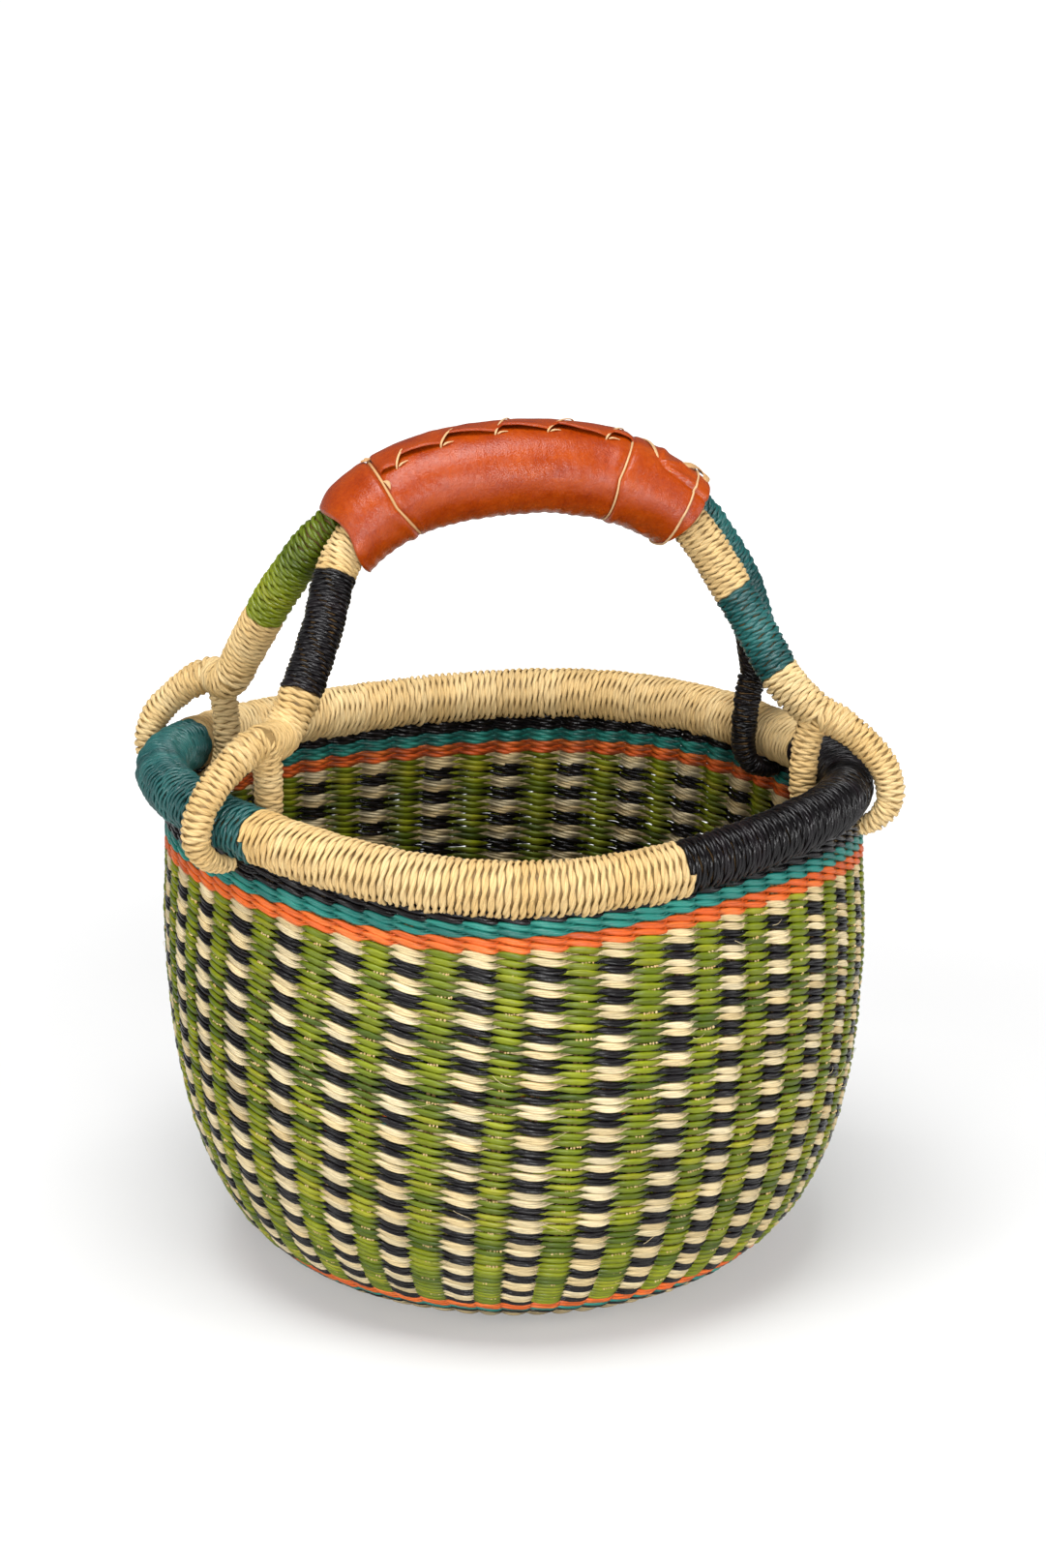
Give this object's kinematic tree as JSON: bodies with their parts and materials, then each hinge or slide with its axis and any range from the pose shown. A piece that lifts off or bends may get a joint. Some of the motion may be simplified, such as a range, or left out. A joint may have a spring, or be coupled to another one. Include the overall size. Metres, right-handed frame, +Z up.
{
  "type": "handled basket",
  "caption": "Round twined straw market basket with a thick wrapped rim and an arched, leather-covered carrying handle looped over the rim.",
  "frame": {"origin": "on the floor, at the middle of the flat underside of the base", "axes": "+Z up; the handle runs along X; +Y is the back of the basket, away from the pictured side"},
  "size_m": [0.2816, 0.2684, 0.3245],
  "materials": {
    "natural_straw": "twisted natural grass, satin",
    "checked_straw": "twined natural, green and black grass in small checks",
    "black_straw": "dyed black grass, slightly shiny",
    "teal_straw": "dyed teal grass, satin",
    "orange_straw": "dyed orange grass, satin",
    "green_straw": "dyed green grass, satin",
    "grass_core": "bundled grass, matt",
    "leather": "hand dyed goat leather, glossy",
    "binding_thread": "twisted thread, matt",
    "thong": "undyed leather thong, satin"
  },
  "bodies": {
    "root": {"twined_base": "natural_straw", "base_band_teal_black": "black_straw", "base_band_orange": "orange_straw", "checked_wall": "checked_straw", "top_band_orange": "orange_straw", "top_band_teal": "teal_straw", "top_band_black": "black_straw", "rim_core": "grass_core", "rim_wrap_natural_back": "natural_straw", "rim_wrap_teal_left": "teal_straw", "rim_wrap_natural_front": "natural_straw", "rim_wrap_black_right": "black_straw", "front_arch_core": "grass_core", "back_arch_core": "grass_core", "front_left_eye": "natural_straw", "front_right_eye": "natural_straw", "back_left_eye": "natural_straw", "back_right_eye": "black_straw", "front_grip_bundle": "grass_core", "back_grip_bundle": "grass_core", "front_left_black_winding": "black_straw", "front_left_natural_winding": "natural_straw", "front_right_natural_winding": "natural_straw", "front_right_teal_winding": "teal_straw", "back_left_green_winding": "green_straw", "back_right_teal_winding": "teal_straw", "leather_grip": "leather", "left_thread": "binding_thread", "right_thread": "binding_thread", "seam_thong": "thong"}
  },
  "joints": []
}
